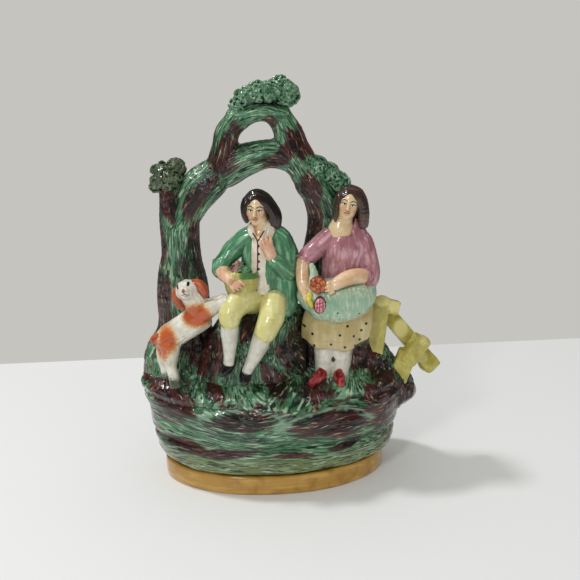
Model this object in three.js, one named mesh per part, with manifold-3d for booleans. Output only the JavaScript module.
// A Staffordshire pottery group: a couple seated under a tree arbour, with a spaniel and a rustic fence.
// Millimetres, +X to the viewer's right, +Y to the back, +Z up. The origin is the middle of the underside.
// Left and right of a figure are the figure's own, so the man's right arm is on the viewer's left.
import * as THREE from "three";
import { mergeVertices } from "three/addons/utils/BufferGeometryUtils.js";
import Module from "manifold-3d";

const wasm = await Module();
wasm.setup();

// Joints and walls
const slip = 0.3; // the layer of slip left between two pressed pieces
const mouldWall = 4.5; // wall of the hollow mound
const slabThickness = 4; // flat clay slab that closes the underside
const ventDiameter = 9; // lets the air out in the kiln
const ventSetback = 14; // vent centre, behind the middle

// Base
const plinth = { width: 143, depth: 85, height: 12.5, bevel: 1.2 };
const mound = { width: 168, depth: 88, height: 58, seamSetback: 6 };
// Ledges round the mound and boulders on its front, at shares of its height
const ledges = [
  { rise: 0.32, depth: 1.9, thick: 2.2, wave: 2.2, length: 15, start: 0 },
  { rise: 0.81, depth: 1.7, thick: 2, wave: 1.6, length: 19, start: 1 },
];
const boulders = [
  { x: -20, rise: 0.62, wide: 24, tall: 9, bulge: 2 },
  { x: 33, rise: 0.54, wide: 26, tall: 10.5, bulge: 2 },
];
const swells = { high: 1.1, across: 9, up: 7 };
const ground = plinth.height + mound.height; // level on which everything stands

// Arbour, with its height above the ground
const arbour = { setback: 8, height: 180 };
const leafClump = 5.2; // radius of one clump of foliage

// Seats, as heights above the ground
const manSeat = 42;
const womanSeat = 35;

// Figures, with their whole heights from the lowest shoe to the crown of the head
const man = { x: 0, y: -8, height: 112 };
const woman = { x: 46, y: -8, height: 119 };
const dog = { x: -50, y: -20, lift: 29.5, height: 61 };

// Fence, whose middle is set in from the mound's right edge, and the rock that carries it
const fence = { setIn: 8, y: -3, height: 43, plank: 9, thickness: 8, edge: 1.2 };
const fenceRockWidth = 33;
const fenceX = mound.width / 2 - fence.setIn;

// Glaze and enamel colours
const paint = (color, roughness = 0.16) => new THREE.MeshStandardMaterial({ color, roughness, metalness: 0 });
const ochre = paint(0xc98f3f);
const moss = paint(0x3f6b4c);
const earth = paint(0x4a2c28);
const bark = paint(0x46513a);
const leaf = paint(0x2f6a4a);
const skin = paint(0xd9b58c);
const blackHair = paint(0x2a1c1a);
const brownHair = paint(0x4d362f);
const coatGreen = paint(0x3f8563);
const linen = paint(0xe2dccb);
const yellow = paint(0xd6cf7e);
const straw = paint(0xb0a04c);
const jet = paint(0x14110f);
const pink = paint(0xa9727c);
const apronGreen = paint(0x93b79c);
const cream = paint(0xc9b784);
const red = paint(0x8e1f22);
const orange = paint(0xb9572a);
const rose = paint(0xa8586a);
const white = paint(0xe6e2d6);
const fencePaint = paint(0xbdb75f);
const clay = paint(0xd8d0bd, 0.7);

const towardsViewer = new THREE.Vector3(0, -1, 0);
const sideways = new THREE.Vector3(1, 0, 0);
const upwards = new THREE.Vector3(0, 0, 1);

// A closed tube through stations [x, y, z, half width, half depth], with domed ends.
// Half depths point along facing, and grow adds the same thickness all round.
// The sections stand square to the limb, or lie level when it is layered.
// A relief, where there is one, gives how far the skin stands out at a point.
function limb(stations, { sides = 10, facing = towardsViewer, dome = 0.55, layered = false, relief = null } = {}) {
  const spine = new THREE.CatmullRomCurve3(stations.map(([x, y, z]) => new THREE.Vector3(x, y, z)));
  return (grow) => {
    const rings = stations.map(([x, y, z, wide, deep], i) => ({
      centre: new THREE.Vector3(x, y, z),
      along: layered ? upwards : spine.getTangent(i / (stations.length - 1)),
      wide: wide + grow,
      deep: deep + grow,
    }));
    return closeRings(withDomes(rings, dome, grow), sides, facing, relief);
  };
}

// Adds a smaller ring and an apex beyond each end ring.
function withDomes(rings, dome, grow) {
  const shoulder = 0.72;
  const beyond = (ring, sign) => {
    const reach = dome * Math.min(ring.wide, ring.deep) + grow;
    const at = (share) => ring.centre.clone().addScaledVector(ring.along, sign * reach * share);
    return [
      { centre: at(shoulder), along: ring.along, wide: ring.wide * shoulder, deep: ring.deep * shoulder },
      { centre: at(1), along: ring.along, wide: 0, deep: 0 },
    ];
  };
  const [startShoulder, start] = beyond(rings[0], -1);
  const [endShoulder, end] = beyond(rings.at(-1), 1);
  return [start, startShoulder, ...rings, endShoulder, end];
}

// Joins elliptical rings into one closed geometry. The first and last ring are single points.
function closeRings(rings, sides, facing, relief) {
  const points = [rings[0].centre.toArray()];
  for (const ring of rings.slice(1, -1)) {
    const out = facing.clone().addScaledVector(ring.along, -facing.dot(ring.along)).normalize();
    const side = new THREE.Vector3().crossVectors(out, ring.along);
    for (let k = 0; k < sides; k++) {
      const turn = (2 * Math.PI * k) / sides;
      const point = ring.centre.clone();
      point.addScaledVector(side, Math.cos(turn) * ring.wide).addScaledVector(out, Math.sin(turn) * ring.deep);
      if (relief) {
        const outward = point.clone().sub(ring.centre).normalize();
        point.addScaledVector(outward, relief(point));
      }
      points.push(point.toArray());
    }
  }
  points.push(rings.at(-1).centre.toArray());
  const at = (ring, k) => 1 + ring * sides + (k % sides);
  const faces = [];
  const lastRing = rings.length - 3;
  for (let k = 0; k < sides; k++) {
    faces.push(0, at(0, k + 1), at(0, k));
    for (let ring = 0; ring < lastRing; ring++) {
      faces.push(at(ring, k), at(ring, k + 1), at(ring + 1, k + 1));
      faces.push(at(ring, k), at(ring + 1, k + 1), at(ring + 1, k));
    }
    faces.push(points.length - 1, at(lastRing, k), at(lastRing, k + 1));
  }
  const geometry = new THREE.BufferGeometry();
  geometry.setAttribute("position", new THREE.Float32BufferAttribute(points.flat(), 3));
  geometry.setIndex(faces);
  return geometry;
}

// An ellipsoid, leaning by an angle in degrees towards the viewer's right.
function ball([x, y, z], [wide, deep, tall], lean = 0, sides = 12) {
  return (grow) =>
    new THREE.SphereGeometry(1, sides, Math.ceil(sides * 0.6))
      .rotateX(Math.PI / 2)
      .scale(wide + grow, deep + grow, tall + grow)
      .rotateY(THREE.MathUtils.degToRad(lean))
      .translate(x, y, z);
}

// A flat oval, from one level up to another, with its edge bevelled.
function ovalSlab(width, depth, from, to, bevel) {
  const segments = 40;
  return (grow) => {
    const outline = new THREE.Shape();
    outline.absellipse(0, 0, width / 2 + grow - bevel, depth / 2 + grow - bevel, 0, 2 * Math.PI);
    return new THREE.ExtrudeGeometry(outline, {
      depth: to - from - 2 * bevel + 2 * grow,
      curveSegments: segments,
      bevelSize: bevel,
      bevelThickness: bevel,
      bevelSegments: 1,
    }).translate(0, 0, from + bevel - grow);
  };
}

// A straight plank between two points, its broad side towards the viewer.
function plank(from, to, width, thickness, edge) {
  const start = new THREE.Vector3(...from);
  const span = new THREE.Vector3(...to).sub(start);
  const along = span.clone().normalize();
  const out = towardsViewer.clone().addScaledVector(along, -towardsViewer.dot(along)).normalize();
  const turn = new THREE.Matrix4().makeBasis(new THREE.Vector3().crossVectors(out, along), out, along);
  return (grow) => {
    const half = [width / 2 + grow - edge, thickness / 2 + grow - edge];
    const section = new THREE.Shape([
      new THREE.Vector2(-half[0], -half[1]),
      new THREE.Vector2(half[0], -half[1]),
      new THREE.Vector2(half[0], half[1]),
      new THREE.Vector2(-half[0], half[1]),
    ]);
    return new THREE.ExtrudeGeometry(section, {
      depth: span.length() + 2 * grow - 2 * edge,
      bevelSize: edge,
      bevelThickness: edge,
      bevelSegments: 2,
    })
      .translate(0, 0, edge - grow)
      .applyMatrix4(turn)
      .translate(...from);
  };
}

// A turned shape from a profile of [radius, height] that starts and ends on the axis.
function turned([x, y, z], profile, lean = 0) {
  const sides = 16;
  return (grow) => {
    const points = profile.map(([radius, height], i) => {
      const onAxis = i === 0 || i === profile.length - 1;
      const lift = i === 0 ? -grow : grow * (i / (profile.length - 1));
      return new THREE.Vector2(onAxis ? 0 : radius + grow, height + lift);
    });
    return new THREE.LatheGeometry(points, sides)
      .rotateX(Math.PI / 2)
      .rotateY(THREE.MathUtils.degToRad(lean))
      .translate(x, y, z);
  };
}

// A closed geometry as a solid in the frame of the whole object.
function solidOf(geometry, matrix = new THREE.Matrix4()) {
  const flat = geometry.index ? geometry.toNonIndexed() : geometry;
  const bare = new THREE.BufferGeometry().setAttribute("position", flat.getAttribute("position").clone());
  const merged = mergeVertices(bare.applyMatrix4(matrix), 1e-4);
  return new wasm.Manifold(
    new wasm.Mesh({
      numProp: 3,
      vertProperties: merged.attributes.position.array,
      triVerts: new Uint32Array(merged.index.array),
    }),
  );
}

const largest = (solid) => solid.decompose().reduce((a, b) => (b.volume() > a.volume() ? b : a));
const joined = (solids) => solids.reduce((a, b) => a.add(b));
const near = (a, b) => {
  const [p, q] = [a.boundingBox(), b.boundingBox()];
  return [0, 1, 2].every((i) => p.min[i] < q.max[i] && q.min[i] < p.max[i]);
};

const figureGroup = new THREE.Group();
const stuck = []; // what each new piece is fitted to, a slip joint larger all round

// A group at a place, scaled so that what is drawn at one height stands at another.
function place(x, y, z, scale = 1) {
  const group = new THREE.Group();
  group.position.set(x, y, z);
  group.scale.setScalar(scale);
  figureGroup.add(group);
  group.updateMatrixWorld(true);
  return group;
}

// Puts a finished solid into its group as a mesh about its own middle.
function addMesh(group, name, material, solid) {
  const { vertProperties, triVerts } = solid.getMesh();
  const geometry = new THREE.BufferGeometry();
  geometry.setAttribute("position", new THREE.BufferAttribute(vertProperties, 3));
  geometry.setIndex(new THREE.BufferAttribute(triVerts, 1));
  geometry.applyMatrix4(group.matrixWorld.clone().invert());
  geometry.computeBoundingBox();
  const middle = geometry.boundingBox.getCenter(new THREE.Vector3());
  geometry.translate(-middle.x, -middle.y, -middle.z);
  const flat = geometry.toNonIndexed();
  flat.computeVertexNormals();
  const mesh = new THREE.Mesh(flat, material);
  mesh.name = name;
  mesh.position.copy(middle);
  group.add(mesh);
}

// Sticks a piece on: it is fitted to every piece before it, with a slip joint between them.
// A piece is one shape, or several that are pressed as one.
function stick(group, name, material, ...shapes) {
  const build = (grow) => joined(shapes.map((shape) => solidOf(shape(grow / group.scale.x), group.matrixWorld)));
  const whole = build(0);
  const neighbours = stuck.filter((other) => near(whole, other));
  const fitted = neighbours.length ? largest(whole.subtract(joined(neighbours))) : whole;
  addMesh(group, name, material, fitted);
  stuck.push(build(slip));
}

// The hollow base: a plinth ring, the slab that closes it and a mound pressed in two halves.
function buildBase() {
  const group = place(0, 0, 0);
  const inside = [plinth.width - 2 * mouldWall, plinth.depth - 2 * mouldWall];
  const block = solidOf(ovalSlab(plinth.width, plinth.depth, 0, plinth.height, plinth.bevel)(0));
  const core = solidOf(ovalSlab(...inside, -1, plinth.height + 1, 0)(0));
  addMesh(group, "plinth_ring", ochre, block.subtract(core));

  const slab = solidOf(ovalSlab(inside[0] - 2 * slip, inside[1] - 2 * slip, 0, slabThickness, 0)(0));
  const vent = new THREE.CylinderGeometry(ventDiameter / 2, ventDiameter / 2, 3 * slabThickness, 16)
    .rotateX(Math.PI / 2)
    .translate(0, ventSetback, 0);
  addMesh(group, "base_slab", clay, slab.subtract(solidOf(vent)));
  stuck.push(solidOf(ovalSlab(plinth.width, plinth.depth, 0, plinth.height, plinth.bevel)(slip)));

  const outside = moundShape(true);
  const shell = solidOf(outside(0)).subtract(moundCavity());
  const seam = plinth.depth + mound.depth;
  const half = (side) =>
    new THREE.BoxGeometry(2 * mound.width, seam, 4 * mound.height).translate(
      0,
      mound.seamSetback + (side * (seam + slip)) / 2,
      0,
    );
  addMesh(group, "mound_front", moss, largest(shell.intersect(solidOf(half(-1)))));
  addMesh(group, "mound_back", moss, largest(shell.intersect(solidOf(half(1)))));
  stuck.push(solidOf(outside(slip)));
}

// The mound swells out from the plinth, overhangs it at the sides and draws in to the ground on top.
// Its smooth form lies inside, and its worn form outside.
function moundShape(worn) {
  const foot = plinth.height + slip;
  const swell = (mound.width - plinth.width) / 2;
  // share of the height, shares of the swell to the left and to the right, and share of the depth
  const profile = [
    [0, 0.05, 0.12, plinth.depth / mound.depth],
    [0.15, 0.32, 0.58, 1.0],
    [0.35, 0.48, 0.8, 0.99],
    [0.55, 0.62, 0.98, 0.99],
    [0.72, 0.84, 1.0, 0.98],
    [0.87, 1.0, 0.96, 0.9],
    [0.95, 0.85, 0.75, 0.74],
    [1, 0.6, 0.4, 0.5],
  ];
  const rises = [0, 0.15, 0.23, 0.28, 0.32, 0.36, 0.41, 0.49, 0.57, 0.65, 0.73, 0.78, 0.82, 0.86, 0.91, 0.95, 1];
  const rows = worn ? rises.map((rise) => rowAt(profile, rise)) : profile;
  const stations = rows.map(([rise, left, right, thick]) => [
    ((right - left) * swell) / 2,
    0,
    foot + rise * (mound.height - slip),
    plinth.width / 2 + ((left + right) * swell) / 2,
    (mound.depth / 2) * thick,
  ]);
  return limb(stations, { sides: 32, dome: 0, layered: true, relief: worn ? moundRelief : null });
}

// The row of a profile at any share of its height, between the rows above and below it.
function rowAt(profile, rise) {
  const next = Math.max(1, profile.findIndex((row) => row[0] >= rise));
  const [low, high] = [profile[next - 1], profile[next]];
  const t = (rise - low[0]) / (high[0] - low[0]);
  return low.map((value, i) => value + t * (high[i] - value));
}

// Ledges, boulders and slow swells, which fade out where the mound meets the plinth.
function moundRelief({ x, y, z }) {
  const rise = z - plinth.height;
  let out = swells.high * Math.sin(x / swells.across) * Math.sin(z / swells.up);
  for (const ledge of ledges) {
    const level = ledge.rise * mound.height + ledge.wave * Math.sin(x / ledge.length + ledge.start);
    out -= ledge.depth * Math.exp(-(((rise - level) / ledge.thick) ** 2));
  }
  for (const boulder of boulders) {
    const up = (rise - boulder.rise * mound.height) / boulder.tall;
    const inside = 1 - ((x - boulder.x) / boulder.wide) ** 2 - up ** 2;
    out += y < 0 ? boulder.bulge * Math.sqrt(Math.max(inside, 0)) : 0;
  }
  return out * THREE.MathUtils.clamp(rise / 5, 0, 1);
}

// The mound's inside follows its outside at the wall's thickness, and is open below.
function moundCavity() {
  const inner = solidOf(moundShape(false)(-mouldWall), new THREE.Matrix4().makeTranslation(0, 0, -mouldWall / 2));
  const mouth = ovalSlab(plinth.width - 2 * mouldWall, plinth.depth - 2 * mouldWall, 0, plinth.height + mouldWall * 2, 0);
  return inner.add(solidOf(mouth(0)));
}

// Rocks that carry the couple and the fence, pressed onto the mound. Each is drawn for the size named in its scale.
function buildRocks() {
  const underMan = place(man.x, 0, ground, manSeat / 42);
  stick(underMan, "rock_under_man", earth, limb([
    [-12, -2, -12, 38, 27],
    [-10.5, -3, 10.5, 34.5, 25],
    [-7, -3, 28, 30, 20],
    [-2, -2, 38, 23.5, 13],
    [-1, 0, 42, 16, 9],
  ], { sides: 16, dome: 0.1, layered: true }));
  const underWoman = place(woman.x, 0, ground, womanSeat / 35);
  stick(underWoman, "rock_under_woman", earth, limb([
    [0, 4, -12, 30, 22],
    [0, 4, 10, 26, 17.5],
    [0, 4, 26, 23, 14],
    [0, 4, 35, 17, 10],
  ], { sides: 16, dome: 0.1, layered: true }));
  const underFence = place(fenceX, 0, ground, fenceRockWidth / 33);
  stick(underFence, "rock_under_fence", earth, limb([
    [-4, -2, -32, 8, 9],
    [0, -2, -25, 15.5, 12],
    [0, -2, -17, 16.5, 13],
    [-3, -1, -8, 16, 13],
    [-8, 0, 0, 13.5, 12],
    [-10, 0, 7, 10.5, 10],
    [-11, 1, 12, 6.5, 7],
  ], { sides: 14, dome: 0.2, layered: true }));
}

// Two trunks whose limbs meet over the couple, with a hole between the upper and the lower limb.
// The stations draw the arbour 180 high.
function buildArbour() {
  const group = place(0, arbour.setback, ground, arbour.height / 180);
  const wood = { sides: 12 };
  const leftTrunk = limb([
    [-60, -2, -12, 22, 21],
    [-58.6, -1, 3, 24.3, 18],
    [-55.4, 0, 15, 20, 15],
    [-54.4, 0, 28, 17.2, 13],
    [-53.8, 0, 42, 16.6, 12],
    [-54, 0, 56, 15.3, 11.5],
    [-53.6, 0, 70, 12.8, 11],
    [-52.8, 0, 84, 11.2, 10.5],
    [-52.4, 0, 90, 10.8, 10],
  ], wood);
  const leftStub = limb([
    [-55.5, 0, 80, 9.5, 9],
    [-56.5, 0, 92, 8.8, 8.5],
    [-57, 0, 104, 7.8, 8],
    [-57.5, 0, 115, 7, 7.5],
  ], wood);
  stick(group, "left_trunk", bark, leftTrunk, leftStub);
  stick(group, "right_trunk", bark, limb([
    [36, -1, 22, 17, 13],
    [36.5, 0, 46, 15.4, 12],
    [37.4, 0, 66, 15.4, 11.5],
    [40.4, 0, 82, 14.3, 11],
    [41.5, 0, 95, 14, 11],
    [38, 0, 107, 13.3, 10.5],
    [31.6, 0, 117, 12, 10],
  ], wood));
  stick(group, "left_fork", bark, limb([
    [-52.5, 0, 84, 9.5, 9.5],
    [-49.5, 0, 96, 9.6, 9.5],
    [-45, 0, 107, 11, 9.5],
    [-38.5, 0, 116, 12.5, 9.5],
    [-31, 0, 121.5, 11.5, 9],
  ], wood));
  stick(group, "lower_limb", bark, limb([
    [-24, 0, 124.5, 10.3, 8.2],
    [-18.5, 0, 128, 10.7, 8],
    [-11, 0, 131.6, 10.2, 8],
    [0, 0, 134.7, 9, 8],
    [9.5, 0, 134.7, 9, 8],
    [17, 0, 131.4, 8, 8],
  ], wood));
  stick(group, "right_limb", bark, limb([
    [31.6, 0, 116, 11, 9.5],
    [24.8, 0, 127, 10, 9],
    [19.4, 0, 137, 9.3, 8.5],
    [16.6, 0, 147, 9, 8],
    [12.4, 0, 156, 7.2, 7.5],
  ], wood));
  stick(group, "upper_limb", bark, limb([
    [-27.8, 0, 126, 7.4, 8],
    [-25.6, 0, 132.5, 7.4, 8],
    [-22.7, 0, 141, 7.4, 8],
    [-20.5, 0, 149, 7.3, 7.5],
    [-14, 0, 156.5, 6.8, 7.5],
  ], wood));
  stick(group, "crown_limb", bark, limb([
    [-15, 0, 156, 6.6, 7.5],
    [-5, 0, 160, 6.4, 7.5],
    [4, 0, 160.5, 6.4, 7.5],
    [13, 0, 157, 6.6, 7.5],
  ], wood));
  buildFoliage(group);
}

// Foliage of sieved clay, as clumps at [x, y, z, share of the usual radius].
function buildFoliage(group) {
  const clumps = (places) =>
    places.map(([x, y, z, share]) => {
      const radius = (leafClump * share) / group.scale.x;
      return ball([x, y, z], [radius, radius * 1.25, radius], 0, 8);
    });
  stick(group, "crown_foliage", leaf, ...clumps([
    [-13.5, 0, 163.5, 0.95],
    [-9, 0, 169, 1.1],
    [-1, 1, 171.5, 1.2],
    [6.5, 0, 171.5, 1.2],
    [12.5, 0, 174.2, 1.15],
    [16.8, 0, 170, 1.25],
  ]));
  stick(group, "left_foliage", leaf, ...clumps([
    [-64, 0, 119, 1.0],
    [-62.5, 1, 127, 0.95],
    [-56.5, -1, 122, 1.35],
    [-53, 1, 128, 1.0],
    [-59.5, 0, 124, 1.1],
  ]));
  stick(group, "right_foliage", leaf, ...clumps([
    [26.2, -2, 129, 1.1],
    [33, -1, 125.2, 1.3],
    [40, 0, 120.6, 1.3],
    [46.5, 0, 114.6, 1.3],
    [50.4, 0, 106.8, 1.15],
    [50.4, 1, 98.5, 1.1],
  ]));
}

// The man sits with one hand on the chest and a basket under the right arm. The stations draw the figure 112 high.
function buildMan() {
  const group = place(man.x, man.y, ground + manSeat, man.height / 112);
  const bent = { facing: sideways };
  const coatBody = limb([
    [1, 0, 1, 15, 10],
    [0, -1, 10, 13.5, 9.5],
    [0, -2, 23, 14, 9.5],
    [0, -1, 36, 14.5, 9],
    [-0.7, 0, 44, 13, 8],
    [-1.2, 0, 49.5, 8.6, 6.2],
  ], { sides: 14 });
  const coatTail = limb([
    [9.6, -3.6, 20, 8.6, 7],
    [10.6, -4.8, 10, 8.2, 7.2],
    [10.9, -5.2, 3, 6.9, 6.6],
    [11, -4.8, -1.4, 5, 5.2],
  ]);
  stick(group, "man_coat", coatGreen, coatBody, coatTail);
  stick(group, "man_waistcoat", linen, limb([
    [-1.8, -7.2, 45.5, 4.6, 3.2],
    [-2.6, -9, 33, 5.4, 3.8],
    [-3.5, -9.6, 20, 6.2, 4.2],
    [-4, -9, 11, 8, 5],
    [-3, -8, 7.5, 9, 4.5],
  ]));
  stick(group, "man_head", skin, limb([
    [-1.2, -1.4, 47, 4.8, 4.8],
    [-2.4, -1.6, 53, 5, 5.6],
    [-4.6, -3.2, 56.5, 6.6, 7.6],
    [-4.8, -2.6, 62, 7.8, 8.8],
    [-4.6, -1.6, 67.5, 7.6, 8.2],
    [-4.4, -1, 70, 5, 6],
  ], { sides: 14 }));
  stick(group, "man_hair", blackHair, limb([
    [5.4, 0, 53.5, 4.8, 5.4],
    [3, 1.5, 59.5, 7.6, 7.6],
    [-1, 1.6, 65.5, 9.6, 8.8],
    [-3.6, 1, 70, 8.2, 8.2],
    [-4.2, 0.4, 72, 4.6, 5],
  ], { sides: 14 }));
  stick(group, "man_right_sleeve", coatGreen, limb([
    [-6.5, 0, 47.6, 5.6, 6.4],
    [-13.5, 0, 43.4, 6.1, 6.5],
    [-21.5, -0.3, 35.6, 6, 6.4],
    [-27.2, -3, 28.6, 5.8, 6],
  ]));
  const upperSleeve = limb([
    [4.6, 0, 47.5, 5.8, 6.4],
    [9.6, 0, 43.2, 6.4, 6.8],
    [12.7, -1, 34.5, 6.8, 7.2],
    [13.2, -4, 25, 6.6, 6.8],
  ]);
  const lowerSleeve = limb([
    [12.8, -5.5, 23, 6, 6.2],
    [8.4, -9.6, 28, 5.5, 5.6],
    [4, -11.6, 33, 4.9, 4.9],
  ]);
  stick(group, "man_left_sleeve", coatGreen, upperSleeve, lowerSleeve);
  stick(group, "man_left_hand", skin, limb([
    [3.4, -12, 35, 3.6, 3.2],
    [1.4, -12.7, 40, 4, 3],
    [0, -12, 45, 3.2, 2.4],
  ]));
  stick(group, "man_right_breeches", yellow, limb([
    [-5, -4, 5.5, 8, 8],
    [-12.5, -13, 9, 8.2, 7.8],
    [-19.5, -21.5, 8.6, 7.6, 7.3],
    [-22.8, -25.4, 4.4, 6.8, 6.7],
    [-23.3, -25.8, -0.4, 6, 6],
  ], bent));
  stick(group, "man_left_breeches", yellow, limb([
    [3, -4, 5.5, 8.5, 8],
    [3, -14, 5.5, 8.4, 8],
    [1.8, -22, 1, 7.8, 7.6],
    [-1, -25.4, -4.6, 6.9, 6.8],
    [-3.4, -25.8, -9.6, 6.3, 6.2],
  ], bent));
  stick(group, "man_right_stocking", white, limb([
    [-23.4, -25.2, -2, 5.4, 5.4],
    [-23.8, -24.6, -7, 5.4, 5.6],
    [-24.2, -24.2, -15, 4.4, 4.7],
    [-25, -24.6, -25, 3.2, 3.4],
  ]));
  stick(group, "man_left_stocking", white, limb([
    [-4.4, -25, -11, 5.6, 5.6],
    [-6.4, -24.7, -16, 5.5, 5.7],
    [-9.8, -24.5, -23.5, 4.3, 4.6],
    [-13.6, -25.4, -30.5, 3.2, 3.4],
  ]));
  stick(group, "man_right_shoe", jet, limb([
    [-24.6, -22.4, -28, 3.9, 3.7],
    [-26.8, -26, -29.8, 3.8, 3.5],
    [-29.6, -29.8, -31.2, 2.8, 2.4],
  ], bent));
  stick(group, "man_left_shoe", jet, limb([
    [-14.8, -23, -33, 3.9, 3.7],
    [-15.8, -27, -35.2, 3.9, 3.6],
    [-16.4, -31, -37.2, 3, 2.4],
  ], bent));
  stick(group, "man_right_forearm", skin, limb([
    [-27.4, -4.4, 27, 4.6, 4.6],
    [-26.2, -10, 24.6, 4.4, 4.3],
    [-23.2, -16.4, 22, 4, 3.8],
    [-19, -20.8, 18, 3.8, 3],
  ], { facing: upwards }));
  stick(group, "basket", straw, turned([-16.2, -12, 14.5], [
    [0, -2],
    [5.4, -1.6],
    [8.6, 2],
    [9.8, 6],
    [10.2, 10],
    [0, 10.4],
  ], 6));
  stick(group, "basket_flowers", leaf,
    ball([-20.5, -9, 25.5], [3.6, 3.8, 3.4], 0, 8),
    ball([-15.5, -8, 26.6], [3.8, 4, 3.6], 0, 8),
    ball([-14.5, -13.5, 25.4], [4.4, 3.4, 2.8], 0, 8));
}

// The woman holds up an apron full of flowers. The stations draw the figure 119 high.
function buildWoman() {
  const group = place(woman.x, woman.y, ground + womanSeat, woman.height / 119);
  const bent = { facing: sideways };
  const lying = { facing: upwards };
  stick(group, "woman_bodice", pink, limb([
    [1, 0, 15, 14, 9.5],
    [1.2, 0, 26, 13.8, 9.4],
    [2.4, -0.5, 37, 14.2, 9.4],
    [3.4, 0, 45, 14.2, 9],
    [2.6, 0.5, 52, 12, 7.3],
    [2, 0.8, 55.4, 8.4, 5.6],
  ], { sides: 14 }));
  stick(group, "woman_head", skin, limb([
    [2, 0, 53, 5.2, 5.2],
    [3, -0.8, 60, 4.8, 5],
    [3.8, -2.6, 64, 6.4, 7.2],
    [5, -2.2, 70, 7.8, 8.6],
    [6.2, -1.2, 76, 7.4, 8],
    [6.8, -0.6, 78.4, 5, 5.4],
  ], { sides: 14 }));
  stick(group, "woman_hair", brownHair, limb([
    [13.2, 0, 60, 4, 5],
    [12, 2, 67, 6, 6.8],
    [9, 2.4, 74, 9, 8.6],
    [7.6, 1.8, 78.6, 7.6, 7.6],
    [7.2, 1.2, 81, 4, 4.6],
  ], { sides: 14 }));
  stick(group, "skirt", cream, limb([
    [-3.6, -4, -16.4, 21.4, 14],
    [-3.4, -3.7, -9, 22, 14.5],
    [-2.6, -2.4, 0, 22.3, 14.5],
    [-1, -1, 8, 20.3, 13],
  ], { sides: 18, dome: 0.12 }));
  stick(group, "petticoat", white, limb([
    [-8, -6.8, -41.5, 9.4, 8],
    [-7.2, -6.3, -30, 11.4, 9.2],
    [-6.6, -5.8, -16, 13.4, 9.8],
  ], { sides: 14, dome: 0.1 }));
  stick(group, "woman_left_sleeve", pink, limb([
    [8.6, 0.5, 51.8, 6, 6.4],
    [12.8, 0.5, 45.4, 6.6, 7],
    [15.3, -1, 36.4, 6.9, 7.4],
    [16.7, -4, 27.4, 6.7, 7.2],
    [15.7, -7.4, 22.8, 6.3, 6.6],
  ]));
  stick(group, "woman_right_sleeve", pink, limb([
    [-5.5, 0.5, 51.4, 6, 6.3],
    [-12.6, -1, 45.8, 6.2, 6.4],
    [-18.3, -3, 41.4, 5.9, 6.2],
    [-22.2, -5.5, 37.5, 5.9, 6],
  ]));
  stick(group, "woman_left_forearm", skin, limb([
    [15.4, -8, 25.8, 4.6, 4.6],
    [9, -12, 28, 4.8, 4.8],
    [2.4, -15.4, 28, 4.7, 4.6],
    [-4, -18.6, 26, 4.4, 3.6],
    [-9, -20.4, 24.2, 3.6, 2.6],
  ], lying));
  stick(group, "woman_right_forearm", skin, limb([
    [-23.2, -6.8, 36, 4.4, 4.4],
    [-24.2, -9.4, 31, 4.3, 4.3],
    [-24.1, -12.6, 25, 4.1, 4],
    [-22.8, -16, 18.6, 3.8, 3.2],
    [-21, -18, 15, 2.8, 2.4],
  ]));
  const lap = limb([
    [-4.8, -8.4, -1, 11, 8.8],
    [-3.8, -9.4, 4.5, 18, 12.4],
    [-3.6, -9.5, 11, 22.8, 14.2],
    [-3.7, -9, 16.5, 24.4, 13.8],
    [-3.2, -7, 22.5, 22, 11],
  ], { sides: 18, dome: 0.15 });
  const gather = limb([
    [-18.6, -11.4, 35, 2, 2.2],
    [-17.8, -14.2, 29, 3, 3.2],
    [-17.6, -16.8, 20, 4.4, 4],
  ]);
  stick(group, "apron", apronGreen, lap, gather);
  stick(group, "orange_flower", orange, ball([-16, -20.5, 25.8], [5.1, 3.4, 5.1]));
  stick(group, "pink_flower", rose, ball([-15.2, -21.8, 13.8], [3.8, 3.2, 5.7], 8));
  stick(group, "yellow_leaf", straw, ball([-21.2, -21, 16.6], [2.2, 2.8, 5], 5, 8));
  stick(group, "woman_right_shoe", red, limb([
    [-14.4, -14, -34, 3.8, 3.5],
    [-17.6, -18, -35, 3.7, 3.4],
    [-21.2, -21.2, -36.2, 2.7, 2.3],
  ], bent));
  stick(group, "woman_left_shoe", red, limb([
    [-4.2, -14, -35.4, 3.8, 3.6],
    [-3.8, -18.4, -36.2, 3.9, 3.6],
    [-3.2, -22.6, -37.8, 2.9, 2.4],
  ], bent));
}

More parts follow.
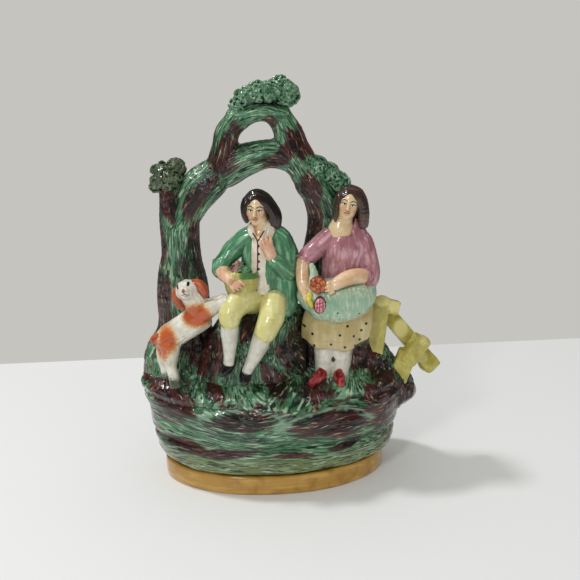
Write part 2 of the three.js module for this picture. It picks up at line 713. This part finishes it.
// The spaniel stands on its hind legs, with its forepaws on the man's knee. The stations draw it 61 high.
function buildDog() {
  const group = place(dog.x, dog.y, ground + dog.lift, dog.height / 61);
  stick(group, "dog_body", white, limb([
    [-14, 1, -2.6, 6.4, 7],
    [-11, 1, -0.6, 8, 8],
    [-5, 0.5, 3.4, 8, 7.8],
    [2.6, -0.6, 8.4, 8.4, 8],
    [9, -1.5, 13.4, 8.6, 8],
  ], { sides: 12 }));
  const neck = limb([
    [9, -1.6, 15, 8, 7.6],
    [7, -2, 20, 7.2, 7],
    [4.4, -2.4, 25.5, 6.4, 6.4],
  ], { sides: 12 });
  stick(group, "dog_head", white,
    ball([2.4, -2.6, 29.8], [7.1, 6.8, 6.6], -18),
    ball([1, -9.4, 31], [3.8, 5, 3.6], 0, 10),
    neck);
  stick(group, "dog_left_ear", orange, ball([9.2, -3.8, 30.8], [3.8, 2.4, 6.8], -36));
  stick(group, "dog_right_ear", orange, ball([-4.4, -4.6, 25.4], [2.5, 2.2, 7], -12));
  stick(group, "dog_left_foreleg", white, limb([
    [11, -5, 16, 5.6, 5.2],
    [16.5, -7.6, 19.6, 4.5, 4.3],
    [22, -10, 23.2, 3.4, 3.4],
    [26.8, -11.8, 25.6, 3.6, 3.2],
  ]));
  stick(group, "dog_right_foreleg", white, limb([
    [10, 0.6, 18, 4.8, 4.8],
    [16, -1.8, 21.6, 4, 4],
    [23, -5.2, 25.8, 3.2, 3],
  ]));
  stick(group, "dog_left_hind_leg", white, limb([
    [-11, -3, -4.6, 6.6, 6.2],
    [-11.4, -4, -11.4, 4.9, 5],
    [-11, -4.6, -19, 3.7, 3.8],
    [-9, -6.2, -30.4, 4.2, 3.8],
  ]));
  stick(group, "dog_right_hind_leg", white, limb([
    [-15, 4.4, -7.5, 5.6, 5.8],
    [-16.4, 4.6, -15, 4.2, 4.4],
    [-15, 3.8, -28, 3.8, 3.6],
  ]));
  stick(group, "dog_tail", orange, limb([
    [-14.6, 0, -0.8, 4, 3.8],
    [-18.6, 0, -0.8, 3.6, 3.5],
    [-21.4, -0.4, -2.6, 2.4, 2.4],
  ], { facing: upwards }));
}

// Two posts and the slanting rail behind them, on points drawn for a fence 43 high.
function buildFence() {
  const group = place(fenceX, fence.y, ground);
  const unit = fence.height / 43;
  const spot = (across, back, up) => [across * unit, back, up * unit];
  const board = (from, to, width) => plank(from, to, width, fence.thickness, fence.edge);
  const behind = fence.thickness + slip;
  const forward = -fence.thickness / 2;
  stick(group, "fence_rail", fencePaint,
    board(spot(-1.5, behind, 32), spot(30.5, behind - 5, -8), fence.plank * 1.2));
  stick(group, "fence_inner_post", fencePaint,
    board(spot(-10, 0, 2), spot(-4.8, 0, 43), fence.plank * 1.3),
    board(spot(-5, 0, 39), spot(7.2, 0, 35.4), fence.plank));
  stick(group, "fence_outer_post", fencePaint,
    board(spot(3.4, forward, -14), spot(12.2, forward, 8), fence.plank * 1.35),
    board(spot(10.6, forward, 1), spot(21.8, forward, 17), fence.plank * 1.25));
}

buildBase();
buildRocks();
buildArbour();
buildMan();
buildWoman();
buildDog();
buildFence();

export default figureGroup;
